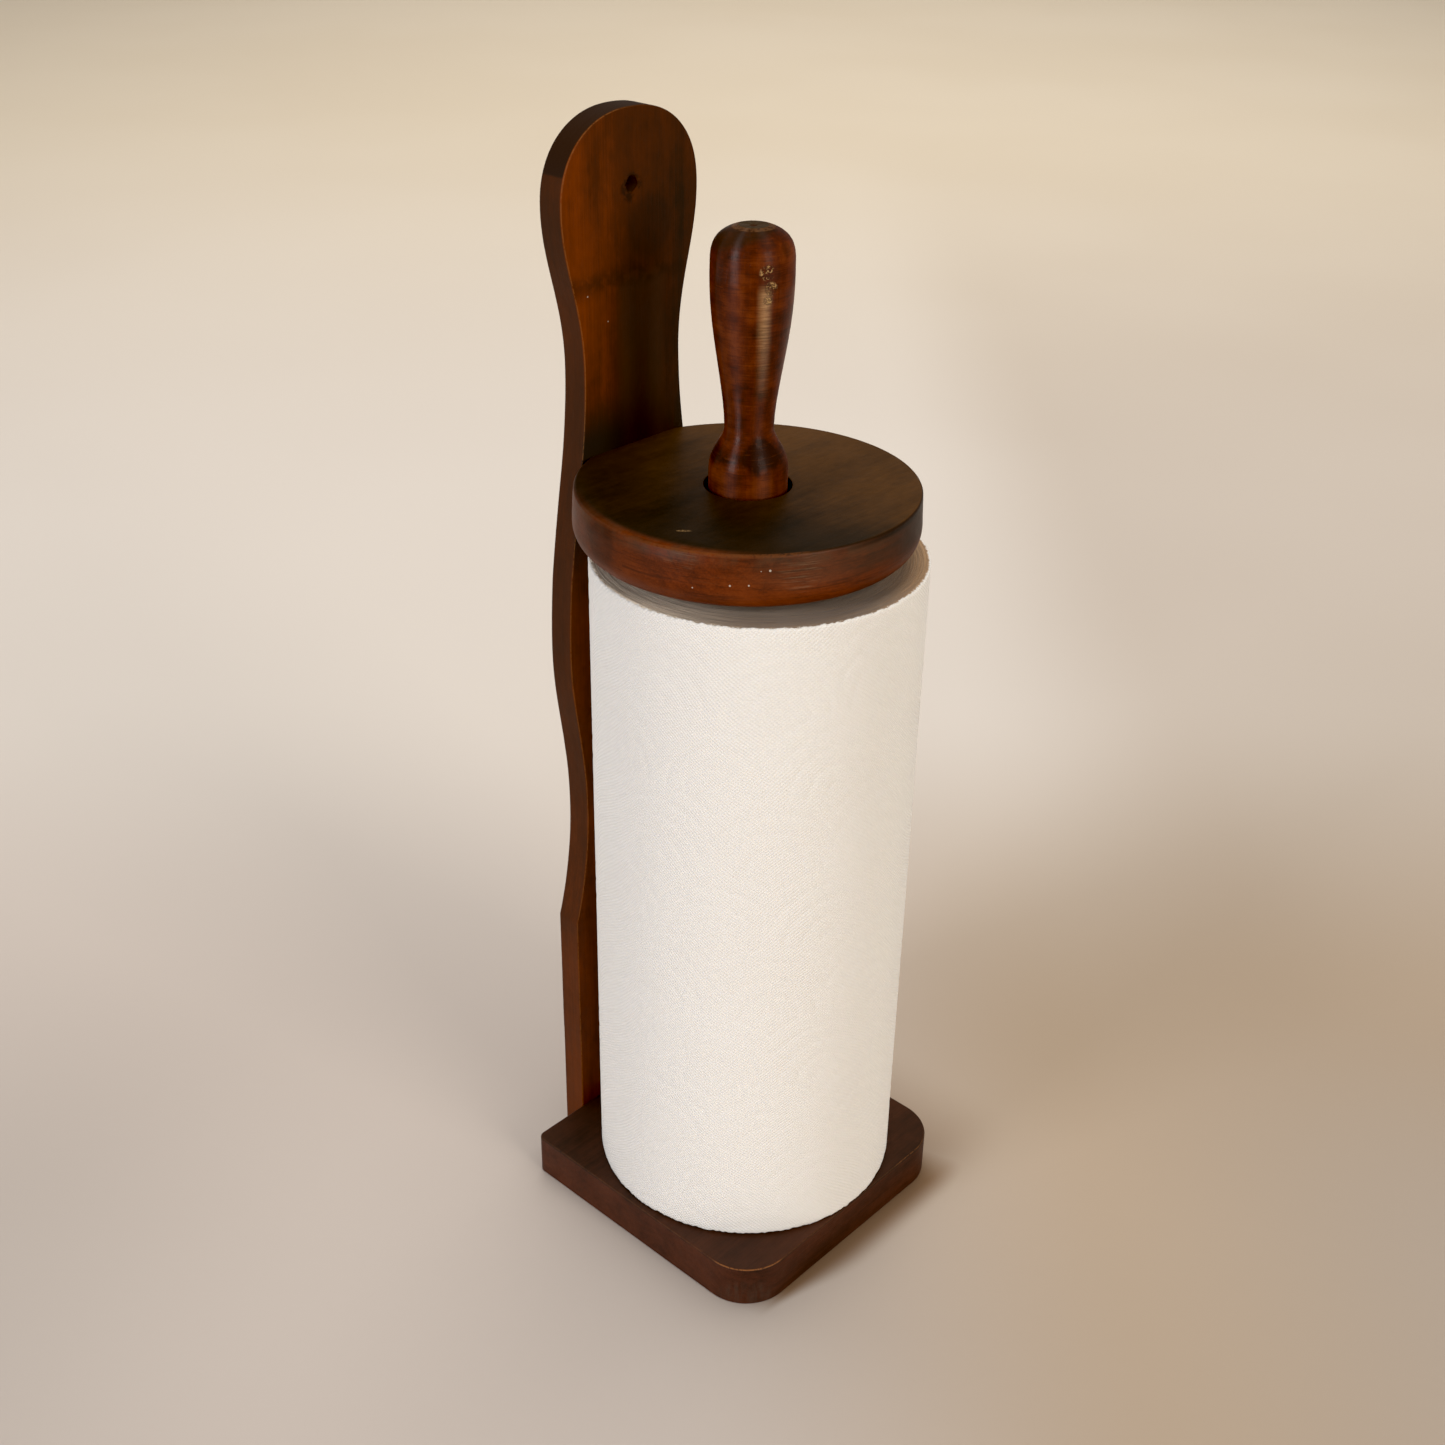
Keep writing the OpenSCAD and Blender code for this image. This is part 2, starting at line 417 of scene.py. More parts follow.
def board_material():
    s = Shader("board_wood", 0.5, 0.11)
    front = s.step(s.y, BOARD_FRONT + 0.9, BOARD_FRONT + 0.3)
    not_front = s.opposite(front)
    # the front is lighter at its left and darker at its right; the sides took the stain evenly
    front_tone = s.step(s.x, -32.0, 18.0, 0.84, 0.27)
    # painted shade: the front is darker towards the disc
    front_tone = s.plus(front_tone, s.step(s.z, 330.0, 400.0, -0.16, 0.0))
    # the sides are redder near the foot, and darker on the head above a sharp line
    head = s.times(s.step(s.z, 427.5, 428.6, 0.0, -0.45), s.fade(s.size(s.split(s.normal)[1]), 0.3, 0.8))
    sides = s.plus(s.step(s.z, 40.0, 230.0, 0.82, 0.36), head)
    shade = s.plus(s.times(front, front_tone), s.times(not_front, sides))
    s.colour, relief = stained_wood(
        s, "z", (-8.0, -46.0), rgb(0.023, 0.0102, 0.0036), rgb(0.078, 0.019, 0.0027),
        rgb(0.19, 0.037, 0.0022), shade, 3.1, 0.55)
    s.tint(not_front, 0.4, rgb(0.06, 0.021, 0.008))
    s.tint(not_front, s.times(head, -1.2), rgb(0.014, 0.0065, 0.003))
    # painted light: the neck is an even brown down its middle, lifted over the handle's shadow
    neck = s.times(s.step(s.z, 384.0, 392.0, 0.6, 0.0), s.step(s.x, -10.0, -3.0), s.fade(s.x, 12.0, 19.0))
    s.tint(neck, front, rgb(0.082, 0.034, 0.012))
    # painted shade: the front runs dark towards the disc
    low = s.times(s.step(s.z, 352.0, 329.0), s.step(s.x, -9.0, 2.0, 1.0, 0.5), s.step(s.z, 262.0, 304.0))
    s.tint(low, front, rgb(0.021, 0.0135, 0.0085))
    # a darker patch lies right of the middle of the head
    right = s.times(s.near((9.0, BOARD_FRONT, 405.0), 9.0), front)
    s.tint(right, 0.4, rgb(0.014, 0.009, 0.005))
    # a faint dark band where a knot lay across the neck
    from_knot = s.size(s.minus(s.z, KNOT_HEIGHT))
    knot = s.times(s.fade(from_knot, 0.0, 7.0), s.step(s.noise(s.mm, 0.13, 3.0, 0.55), 0.38, 0.55), front)
    s.tint(knot, 0.55, rgb(0.02, 0.009, 0.003))
    # grime around the hanging hole
    grime = s.times(s.near((0.0, BOARD_FRONT, 420.0), 4.2),
                    s.step(s.noise(s.mm, 0.3, 3.0, 0.6), 0.42, 0.6))
    s.tint(grime, 0.7, rgb(0.012, 0.006, 0.0025))
    # the inside of the hole is lighter and browner
    from_hole = s.vector("LENGTH", s.join(s.x, s.minus(s.z, HOLE_HEIGHT), 0.0))
    bore = s.times(s.fade(from_hole, 3.2, 3.5), not_front)
    s.tint(bore, 0.85, rgb(0.085, 0.04, 0.016))
    # the stain is rubbed off the front edge, most of all at the left
    left_edge = s.times(s.step(s.x, -12.0, 2.0, 0.6, 0.12), s.step(s.y, 60.0, 62.0, 1.0, 0.2))
    worn = wear_edges(s, left_edge, rgb(0.22, 0.085, 0.022))
    fleck(s, ((-22.3, 58.5, 385.1), 0.22), ((-12.5, 58.5, 374.1), 0.2), ((-36.2, 64.0, 261.0), 0.35),
          ((-34.6, 61.0, 259.9), 0.35), ((-31.6, 62.0, 300.4), 0.35), ((-25.2, 60.5, 376.0), 0.35))
    return s.finish(*varnish(s, relief, 0.5, worn))


def base_material():
    s = Shader("base_wood", 0.5, 0.14)
    top = s.step(s.z, BASE_TOP - 1.2, BASE_TOP - 0.3)
    shade = s.scaled(top, -0.16, 0.6)
    # painted shade: the side that faces -y is darker
    shaded_face = s.times(s.split(s.normal)[1], -1.0)
    shade = s.plus(shade, s.step(shaded_face, 0.3, 0.9, 0.0, -0.3))
    # and so is the top where the roll keeps it in shadow
    behind = s.step(s.away(s.x, s.y), -75.0, -25.0)
    shade = s.scaled(s.times(behind, top), -0.17, shade)
    s.colour, relief = stained_wood(
        s, "x", (-20.0, -60.0), rgb(0.018, 0.0068, 0.0034), rgb(0.08, 0.0235, 0.0105),
        rgb(0.13, 0.037, 0.0155), shade, 11.7, 0.45)
    # the stain is rubbed off the near corner, and less at a place along the front edge
    corner = s.times(s.near((BASE_LEFT + 6, BASE_FRONT + 6, BASE_TOP), 11.5), 0.8)
    front = s.times(s.near((41.0, BASE_FRONT, BASE_TOP), 9.0), 0.3)
    where = s.largest(corner, front, 0.12)
    upper = s.step(s.z, BASE_TOP - 4, BASE_TOP - 2, 0.15, 1.0)
    worn = wear_edges(s, s.times(where, upper), rgb(0.44, 0.16, 0.045))
    s.tint(top, 0.35, rgb(0.042, 0.028, 0.019))
    # grey scuffs low on the corner that gets knocked
    foot = s.near((BASE_LEFT + 6, BASE_FRONT + 6, BASE_FOOT), 10.0)
    smears = s.stretched(s.mm, (0.5, 0.5, 0.09), 3.0, 0.6)
    scuffed = s.times(foot, s.step(smears, 0.35, 0.7))
    s.tint(scuffed, 0.26, rgb(0.07, 0.056, 0.042))
    return s.finish(*varnish(s, relief, 0.5, worn))


def disc_material():
    s = Shader("disc_wood", 0.48, 0.11)
    top = s.step(s.z, DISC_TOP - 1.0, DISC_TOP - 0.1)
    side = s.opposite(top)
    rightward = s.rightward(s.x, s.y)
    # the top is dark and olive, partly painted shade for the little light that reaches it; the turned edge
    # is redder and lighter
    shade = s.step(s.x, -45.0, 25.0, 0.62, 0.3)
    shade = s.plus(shade, s.step(s.z, DISC_FOOT + 4, DISC_TOP - 4, 0.12, -0.06))
    s.colour, relief = stained_wood(
        s, "x", (12.0, 240.0), rgb(0.036, 0.0085, 0.0022), rgb(0.125, 0.0235, 0.0034),
        rgb(0.2, 0.041, 0.006), shade, 7.3, 0.9)
    # the top is painted lighter towards the right and the back, a painted sheen, and darker towards the
    # left and the front; the edge is darker at its left
    top_sheen_and_shade = s.step(s.x, -50.0, 42.0, 0.24, 0.84)
    top_sheen_and_shade = s.scaled(s.near((-24.0, -26.0, DISC_TOP), 13.0), -0.14, top_sheen_and_shade)
    sheened_top, _ = stained_wood(
        s, "x", (12.0, 240.0), rgb(0.0095, 0.0055, 0.0018), rgb(0.036, 0.0158, 0.0042),
        rgb(0.088, 0.037, 0.0088), top_sheen_and_shade, 31.3, 0.4)
    nearness = s.step(s.away(s.x, s.y), -50.0, -22.0, 0.5, 0.0)
    sheened_top = s.mix(nearness, sheened_top, rgb(0.0105, 0.0085, 0.0048))
    s.cover(s.step(rightward, -62.0, -22.0, 0.5, 0.0), rgb(0.07, 0.018, 0.0035))
    s.cover(top, sheened_top)
    # turning marks around the edge
    angle = s.math("ARCTAN2", s.y, s.x)
    marks = s.noise(s.join(s.times(angle, 2.2), 0.0, s.times(s.z, 0.9)), 1.0, 5.0, 0.7)
    streak = s.times(s.step(marks, 0.52, 0.72), side)
    s.tint(streak, 0.3, rgb(0.12, 0.045, 0.015))
    dark_streak = s.times(s.step(marks, 0.49, 0.36), side)
    s.tint(dark_streak, 0.6, rgb(0.035, 0.009, 0.002))
    # dust and a painted sheen in the upper part of the edge
    dust_and_sheen = s.times(s.step(s.z, DISC_TOP - 6.5, DISC_TOP - 1.5, 0.0, 0.5), side,
                    s.step(s.noise(s.mm, 0.09, 3.0, 0.6), 0.4, 0.62))
    s.cover(dust_and_sheen, rgb(0.085, 0.042, 0.02))
    # greyer towards the right, and nearly black at the far right and in a patch at the left
    grey = s.times(s.step(rightward, -12.0, 22.0), s.step(s.z, DISC_TOP - 16.0, DISC_TOP - 8.0))
    s.tint(s.times(grey, side), 0.36, rgb(0.062, 0.046, 0.03))
    black = s.times(s.step(rightward, 42.0, 58.0), s.step(s.z, DISC_TOP - 20.0, DISC_TOP - 10.0))
    black = s.largest(black, s.times(s.near((-61.0, 12.0, DISC_TOP - 8.0), 6.0), 0.5))
    s.tint(s.times(black, side), 0.8, rgb(0.014, 0.0055, 0.0015))
    # painted shadow: a dark line under the crisp right half of the top edge
    shadow_line = s.times(s.step(s.z, DISC_TOP - 2.8, DISC_TOP - 1.7),
                   s.step(s.z, DISC_TOP - 0.05, DISC_TOP - 0.25), s.step(s.x, -30.0, 5.0))
    s.tint(shadow_line, 0.85, rgb(0.008, 0.004, 0.0015))
    # pale scratches on the part of the edge that faces the room
    dry = s.noise(s.join(s.times(angle, 4.0), 3.0, s.times(s.z, 1.8)), 1.0, 4.0, 0.7)
    rubbed = s.near((-33.0, -54.0, 318.3), 6.0)
    rubbed = s.largest(rubbed, s.times(s.near((-58.0, -22.0, 321.5), 5.0), 0.6))
    rubbed = s.times(rubbed, s.step(dry, 0.5, 0.66))
    s.tint(s.times(rubbed, side), 0.36, rgb(0.26, 0.16, 0.09))
    # a long chip in the top face that shows pale wood
    chip_x, chip_y = s.minus(s.x, CHIP_PLACE[0]), s.minus(s.y, CHIP_PLACE[1])
    lengthways = s.times(s.rightward(chip_x, chip_y), 0.3)
    chip = s.vector("LENGTH", s.join(lengthways, s.away(chip_x, chip_y), 0.0))
    chipped = s.times(s.fade(chip, 0.45, 1.0), s.step(s.noise(s.mm, 1.5, 3.0, 0.7), 0.4, 0.56), top)
    s.tint(chipped, 0.5, BARE_WOOD)
    where = s.largest(s.times(s.near((-52.0, -34.0, DISC_TOP), 24.0), 0.55), 0.05)
    worn = wear_edges(s, where, rgb(0.14, 0.045, 0.012))
    fleck(s, ((-43.9, -46.1, 318.8), 0.25), ((-41.6, -48.1, 319.0), 0.36), ((-50.7, -38.3, 313.4), 0.28),
          ((-46.7, -43.2, 313.7), 0.24), ((-52.7, -35.5, 308.0), 0.26), ((-57.4, -27.4, 311.4), 0.2))
    rough, normal = varnish(s, relief, 0.46, worn)
    normal = s.bump(s.times(marks, side), 0.1 * MM, 0.5, normal)
    s.fix("Coat Weight", 0.04)
    s.fix("Coat Roughness", 0.3)
    return s.finish(rough, normal)


def spindle_material():
    s = Shader("spindle_wood", 0.42, 0.22)
    # darker where stain gathered in the neck, and in patches
    neck = s.size(s.minus(s.z, HANDLE_TOP - NECK_DEPTH))
    shade = s.step(neck, 0.8, 4.5, 0.2, 0.5)
    patches = s.stretched(s.mm, (0.1, 0.1, 0.16), 4.0, 0.6)
    shade = s.scaled(s.minus(patches, 0.5), 1.7, shade)
    # painted shade: a dark patch on the right of the collar's shoulder
    shade = s.scaled(s.near((-5.5, -12.0, HANDLE_TOP - 78.5), 5.5), -0.3, shade)
    shade = s.plus(shade, s.step(s.z, HANDLE_TOP - 88.0, HANDLE_TOP - 81.0, 0.16, 0.0))
    s.colour, relief = stained_wood(
        s, "z", (-60.0, -22.0), rgb(0.024, 0.0055, 0.0014), rgb(0.088, 0.0145, 0.0014),
        rgb(0.165, 0.033, 0.0035), shade, 23.9, 0.5)
    # lathe lines
    turn = s.math("ARCTAN2", s.y, s.x)
    lathe = s.noise(s.join(s.times(turn, 0.9), 0.0, s.times(s.z, 1.5)), 1.0, 5.0, 0.75)
    s.cover(s.step(lathe, 0.5, 0.64, 0.0, 0.5), rgb(0.028, 0.007, 0.002))
    s.cover(s.step(lathe, 0.46, 0.34, 0.0, 0.35), rgb(0.17, 0.04, 0.006))
    # the dome is dark, reaching lower at its left
    rightward = s.rightward(s.x, s.y)
    cap = s.step(s.scaled(rightward, -0.32, s.z), HANDLE_TOP - 4.4, HANDLE_TOP - 1.6)
    cap = s.largest(cap, s.times(s.near((1.7, -13.4, HANDLE_TOP - 6.0), 2.0), 0.4))
    s.tint(cap, 0.72, rgb(0.02, 0.0095, 0.002))
    # painted highlight: a pale strip down the grip, where the varnish shines
    grip = s.times(s.step(s.z, 356.0, 368.0), s.fade(s.z, 397.0, 402.0))
    painted_highlight = s.times(s.fade(s.size(s.minus(rightward, 4.1)), 0.0, 3.2),
                    s.fade(s.away(s.x, s.y), -4.0, -1.0),
                    s.times(grip, s.step(s.z, 366.0, 394.0, 0.26, 1.0)),
                    s.step(lathe, 0.36, 0.6, 1.0, 0.4))
    s.cover(painted_highlight, rgb(0.42, 0.235, 0.1))
    # varnish chipped off the knob, on the side that faces the room
    chips = [((-6.9, -12.7, 405.0), 2.0), ((-5.6, -13.4, 399.5), 1.8), ((-6.6, -12.9, 395.5), 1.3)]
    patch = s.largest(*[s.near(spot, reach) for spot, reach in chips])
    flakes = s.noise(s.mm, 0.55, 4.0, 0.75, 1.2)
    s.tint(patch, s.step(flakes, 0.42, 0.5, 0.0, 0.6), rgb(0.02, 0.008, 0.003))
    chipped = s.times(patch, s.step(flakes, 0.52, 0.57))
    s.tint(chipped, 0.8, rgb(0.5, 0.29, 0.11))
    # the flat lathe centre on top is bare of gloss and grey with dust
    radius = s.vector("LENGTH", s.join(s.x, s.y, 0.0))
    centre = s.times(s.step(s.z, HANDLE_TOP - 0.5, HANDLE_TOP - 0.15), s.fade(radius, 5.0, 5.7))
    s.tint(centre, 0.75, rgb(0.05, 0.032, 0.014))
    wear_edges(s, 0.5, rgb(0.16, 0.07, 0.025))
    rough, normal = varnish(s, relief, 0.43, centre)
    # the varnish shines down the right of the grip, and down the left of the neck and the knob
    right_half = s.step(rightward, -1.5, 1.5)
    collar = s.fade(s.z, 332.0, 335.0)
    dull = s.times(s.opposite(right_half), s.largest(grip, collar))
    dull = s.largest(dull, s.times(right_half, s.opposite(grip)))
    rough = s.scaled(dull, 0.36, rough)
    normal = s.bump(lathe, 0.1 * MM, 0.5, normal)
    normal = s.bump(chipped, -0.12 * MM, 0.8, normal)
    s.fix("Coat Weight", 0.05)
    s.fix("Coat Roughness", 0.14)
    # fine turning scratches stretch the highlights along the handle
    around = s.node("ShaderNodeTangent", direction_type="RADIAL", axis="Z")
    s.put(s.surface.inputs["Tangent"], around.outputs[0])
    s.fix("Anisotropic", 1.0)
    s.fix("Anisotropic Rotation", 0.25)
    return s.finish(rough, normal)


def from_roll_axis(s):
    """Where a point lies across the roll, from its axis, and at what angle."""
    dx = s.minus(s.x, ROLL_AXIS[0] / MM)
    dy = s.minus(s.y, ROLL_AXIS[1] / MM)
    return dx, dy, s.math("ARCTAN2", dy, dx)


def paper_material():
    """Soft white tissue. Rows of fine embossed dots follow slow curves around the roll."""
    s = Shader("paper", 0.95, 0.2)
    dx, dy, angle = from_roll_axis(s)
    around = s.times(angle, ROLL_MM)
    radius = s.vector("LENGTH", s.join(dx, dy, 0.0))
    frayed = s.times(s.noise(s.mm, 0.9, 3.0, 0.6), 1.6)
    on_side = s.step(s.plus(radius, frayed), ROLL_MM - 0.6, ROLL_MM + 0.1)
    on_end = s.opposite(on_side)
    # dots, on a grid that bends in arcs
    bend = s.times(s.math("SINE", s.times(s.z, 0.105)), 1.6)
    sway = s.times(s.math("SINE", s.times(angle, 9.0)), 1.3)
    u = s.times(s.plus(around, bend), 2 * math.pi / DOTS_APART[0])
    v = s.times(s.plus(s.z, sway), 2 * math.pi / DOTS_APART[1])
    dots = s.times(s.math("SINE", u), s.math("SINE", v), on_side)
    # layers on the wound ends
    layer = s.noise(s.join(s.times(radius, 1.9), s.times(angle, 0.9), 0.0), 1.0, 4.0, 0.7)
    layers = s.times(layer, on_end)
    fuzz = s.noise(s.mm, 1.7, 4.0, 0.75)
    patch = s.step(s.noise(s.mm, 0.03, 2.0, 0.5), 0.3, 0.7)
    s.colour = s.mix(patch, rgb(0.92, 0.9, 0.872), rgb(0.93, 0.913, 0.888))
    s.tint(s.fade(dots, -1.0, 0.0), 0.32, rgb(0.79, 0.76, 0.72))
    # the ends are pale at the left, dark and brown in the middle, and warmer at the right: painted light
    # at the left and painted shade from the disc above, over ends a little darker than the sheet
    rightward = s.rightward(dx, dy)
    end_tone_and_shade = s.mix(s.step(rightward, -42.0, 0.0), rgb(0.88, 0.75, 0.58), rgb(0.29, 0.19, 0.11))
    end_tone_and_shade = s.mix(s.step(rightward, 4.0, 28.0), end_tone_and_shade, rgb(0.22, 0.125, 0.053))
    end_tone_and_shade = s.mix(s.step(rightward, 36.0, 62.0), end_tone_and_shade, rgb(0.45, 0.24, 0.085))
    s.tint(on_end, 0.95, end_tone_and_shade)
    s.tint(s.step(layers, 0.42, 0.6), 0.4, rgb(0.15, 0.105, 0.068))
    normal = s.bump(dots, 0.19 * MM, 0.7)
    normal = s.bump(layers, 0.6 * MM, 0.8, normal)
    normal = s.bump(fuzz, 0.07 * MM, 0.4, normal)
    s.fix("Sheen Weight", 0.3)
    s.fix("Sheen Roughness", 0.6)
    s.fix("Subsurface Weight", 0.12)
    s.fix("Subsurface Radius", (0.002, 0.0018, 0.0015))
    s.fix("Subsurface Scale", 1.0)
    return s.finish(None, normal)


def cardboard_material():
    """Grey-brown board wound in a spiral, with its seam and short fibres."""
    s = Shader("core_board", 0.9, 0.25)
    _, _, angle = from_roll_axis(s)
    turns = s.plus(s.math("DIVIDE", s.z, SEAM_RISE), s.math("DIVIDE", angle, 2 * math.pi))
    seam = s.fade(s.size(s.minus(s.math("FRACT", turns), 0.5)), 0.0, 0.012)
    fibres = s.stretched(s.mm, (1.2, 1.2, 0.35), 5.0, 0.7)
    s.colour = s.mix(s.step(fibres, 0.3, 0.7), rgb(0.3, 0.2, 0.115), rgb(0.46, 0.34, 0.22))
    s.tint(seam, 0.6, rgb(0.14, 0.09, 0.05))
    normal = s.bump(s.scaled(seam, -1.5, fibres), 0.15 * MM, 0.6)
    return s.finish(None, normal)


def brass_material():
    """Aged brass: dull, darker in patches, with fine scratches."""
    s = Shader("old_brass", 0.4, 0.5)
    s.fix("Metallic", 1.0)
    tarnish = s.noise(s.mm, 0.8, 4.0, 0.65)
    scratches = s.stretched(s.mm, (6.0, 0.5, 1.2), 3.0, 0.6)
    s.colour = s.mix(s.step(tarnish, 0.38, 0.66), rgb(0.52, 0.36, 0.14), rgb(0.13, 0.085, 0.04))
    rough = s.scaled(tarnish, 0.35, 0.2)
    normal = s.bump(scratches, 0.03 * MM, 0.5)
    return s.finish(rough, normal)


def floor_material():
    """A plain pale matt sheet, a little browner to the right, in painted shadow."""
    s = Shader("pale_sheet", 0.8, 0.2)
    rightward = s.rightward(s.x, s.y)
    away = s.away(s.x, s.y)
    # painted shadow: browner towards the right, and again further right; painted light: paler far away
    s.colour = s.mix(s.step(rightward, -40.0, 170.0), rgb(0.56, 0.5, 0.465), rgb(0.43, 0.335, 0.25))
    s.cover(s.step(away, 70.0, 440.0), rgb(0.7, 0.65, 0.61))
    s.cover(s.step(rightward, 130.0, 300.0, 0.0, 0.35), rgb(0.33, 0.24, 0.16))
    # and it is painted dimmer towards the near corners, painted shade
    corner = s.times(s.step(s.size(rightward), 150.0, 330.0, 0.0, 0.5), s.step(away, 160.0, -60.0))
    s.cover(corner, rgb(0.38, 0.34, 0.315))
    # the sheet is brown where the base shades it, in a wedge along the front and a haze at the right
    before = s.minus(BASE_FRONT, s.y)
    reach = s.step(s.x, -58.0, -4.0, 4.0, 16.0)
    wedge = s.times(s.fade(s.math("DIVIDE", before, reach), 0.2, 1.0), s.step(before, -24.0, -16.0),
                    s.step(s.x, -62.0, -40.0), s.fade(s.x, 48.0, 78.0))
    beside = s.minus(s.x, BASE_RIGHT)
    haze = s.times(s.step(beside, 0.0, 50.0, 0.44, 0.0), s.step(beside, -12.0, -4.0),
                   s.step(before, 22.0, -12.0), s.fade(s.y, 30.0, 110.0))
    s.cover(s.largest(wedge, haze), rgb(0.2, 0.107, 0.043))
    s.cover(s.step(away, 600.0, 2300.0), rgb(0.7, 0.615, 0.5))
    cloud = s.noise(s.mm, 0.0016, 2.0, 0.5)
    s.cover(s.step(cloud, 0.3, 0.7, 0.0, 0.06), rgb(1.0, 0.97, 0.93))
    normal = s.bump(s.noise(s.mm, 0.12, 3.0, 0.6), 0.2 * MM, 0.3)
    return s.finish(None, normal)


# ---------------------------------------------------------------- meshes

def new_piece(name, mesh, material, body, replaced, crease_deg=35):
    """Shows a finished mesh in place of a CAD node. Edges sharper than crease_deg stay crisp."""
    piece = add_object(name, mesh)
    mesh.materials.clear()
    mesh.materials.append(material)
    mesh.shade_smooth()
    mesh.set_sharp_from_angle(angle=math.radians(crease_deg))
    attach(piece, body)
    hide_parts(replaced)
    return piece


def mesh_of(bm, name):
    """Makes a mesh of a bmesh, and frees the bmesh."""
    mesh = bpy.data.meshes.new(name)
    bm.to_mesh(mesh)
    bm.free()
    return mesh


def skin(bm, low, high):
    """Joins two closed rings of equally many points. A ring of one point is the tip of a fan."""
    count = max(len(low), len(high))
    for i in range(count):
        j = (i + 1) % count
        if len(low) == 1:
            bm.faces.new((low[0], high[j], high[i]))
        elif len(high) == 1:
            bm.faces.new((low[i], low[j], high[0]))
        else:
            bm.faces.new((low[i], low[j], high[j], high[i]))


def curve_point(p1, t1, p2, t2, t):
    """The point at t, from 0 to 1, of the curve that leaves p1 along t1 and reaches p2 along t2."""
    return ((2 * t**3 - 3 * t**2 + 1) * p1 + (t**3 - 2 * t**2 + t) * t1
            + (3 * t**2 - 2 * t**3) * p2 + (t**3 - t**2) * t2)


def loops_of(node, axis, level):
    """The closed outlines of a CAD node's flat face at one level along an axis, as lists of 2D points."""
    mesh = frame["nodes"][node].data
    bm = bmesh.new()
    bm.from_mesh(mesh)
    bmesh.ops.remove_doubles(bm, verts=bm.verts, dist=1e-6)
    keep = [i for i in range(3) if i != axis]
    flat = [f for f in bm.faces if all(abs(v.co[axis] - level) < 2e-5 for v in f.verts)]
    uses = {}
    for face in flat:
        for edge in face.edges:
            uses[edge] = uses.get(edge, 0) + 1
    rim = [edge for edge, count in uses.items() if count == 1]
    links = {}
    for edge in rim:
        for v in edge.verts:
            links.setdefault(v, []).append(edge)
    loops = []
    # a dict and not a set, so that every run takes the edges in the same order
    left = dict.fromkeys(rim)
    while left:
        edge = next(iter(left))
        del left[edge]
        first, here = edge.verts
        points = [first, here]
        while here is not first:
            edge = next(e for e in links[here] if e in left)
            del left[edge]
            here = edge.other_vert(here)
            points.append(here)
        loops.append(np.array([[v.co[keep[0]], v.co[keep[1]]] for v in points[:-1]]))
    bm.free()
    return sorted(loops, key=lambda p: -abs(area(p)))


def area(points):
    x, y = points[:, 0], points[:, 1]
    return 0.5 * float(np.sum(x * np.roll(y, -1) - y * np.roll(x, -1)))


OUTLINE_STEP = 1.3 * MM
CORNER_ROOM = 2.4 * MM


def resample(points, spacing, corner_deg=12.0):
    """The same closed outline with even points, smooth between its corners."""
    if area(points) < 0:
        points = points[::-1]
    edge = np.roll(points, -1, 0) - points
    length = np.linalg.norm(edge, axis=1)
    points, edge, length = points[length > 1e-7], edge[length > 1e-7], length[length > 1e-7]
    heading = np.degrees(np.arctan2(edge[:, 1], edge[:, 0]))
    turn = (heading - np.roll(heading, 1) + 180) % 360 - 180
    corners = set(np.nonzero(np.abs(turn) > corner_deg)[0].tolist())
    count = len(points)
    result = []
    for i in range(count):
        p0, p1, p2, p3 = (points[(i + k) % count] for k in (-1, 0, 1, 2))
        before, chord, after = (np.linalg.norm(b - a) for a, b in ((p0, p1), (p1, p2), (p2, p3)))
        t1 = (p2 - p0) / (chord + before) * chord
        t2 = (p3 - p1) / (after + chord) * chord
        # a long straight run has no curvature to carry on from its neighbours, or to hand on to them
        if i in corners or before > 4 * chord:
            t1 = p2 - p1
        if (i + 1) % count in corners or after > 4 * chord:
            t2 = p2 - p1
        if chord > 4 * max(before, after):
            t1 = t2 = p2 - p1
        steps = max(1, int(round(chord / spacing)))
        result += [curve_point(p1, t1, p2, t2, k / steps) for k in range(steps)]
    result = np.array(result)
    # next to a corner there is room for the insets of ring_steps, so that no ring folds over itself
    for i in corners:
        away = np.linalg.norm(result - points[i], axis=1)
        result = result[(away < 1e-7) | (away > CORNER_ROOM)]
    return result


def inward(points):
    """Steps into a counter-clockwise outline that keep the inset from its sides even, at corners too."""
    after = np.roll(points, -1, 0) - points
    after /= np.linalg.norm(after, axis=1)[:, None]
    middle = after + np.roll(after, 1, 0)
    middle /= np.linalg.norm(middle, axis=1)[:, None]
    reach = 1 / np.maximum((middle * after).sum(1), 0.5)
    return np.stack([-middle[:, 1], middle[:, 0]], 1) * reach[:, None]


# Rings beside an arris: how far from it each one lies, and how worn it is
CLOSE, NEXT, FAR = (0.25 * MM, 0.7), (1.0 * MM, 0.25), (3.0 * MM, 0.0)
ARRIS_ANGLES = (0, 18, 36, 54, 72, 90)


def ring_steps(thickness, r_low, r_high):
    """How an edge is stepped from the low face round the side to the high face: inset, height, wear."""
    def arris(radius, degrees):
        a = math.radians(degrees)
        return radius * (1 - math.cos(a)), radius * (1 - math.sin(a)), 0.7 + 0.3 * math.sin(2 * a)

    steps = [(r_low + gap, 0.0, wear) for gap, wear in (NEXT, CLOSE)]
    steps += [arris(r_low, degrees) for degrees in reversed(ARRIS_ANGLES)]
    side = thickness - r_low - r_high
    steps += [(0.0, r_low + gap, wear) for gap, wear in (CLOSE, NEXT, FAR)]
    steps += [(0.0, r_low + side - gap, wear) for gap, wear in (FAR, NEXT, CLOSE)]
    for degrees in ARRIS_ANGLES:
        inset, drop, wear = arris(r_high, degrees)
        steps.append((inset, thickness - drop, wear))
    steps += [(r_high + gap, thickness, wear) for gap, wear in (CLOSE, NEXT)]
    return steps


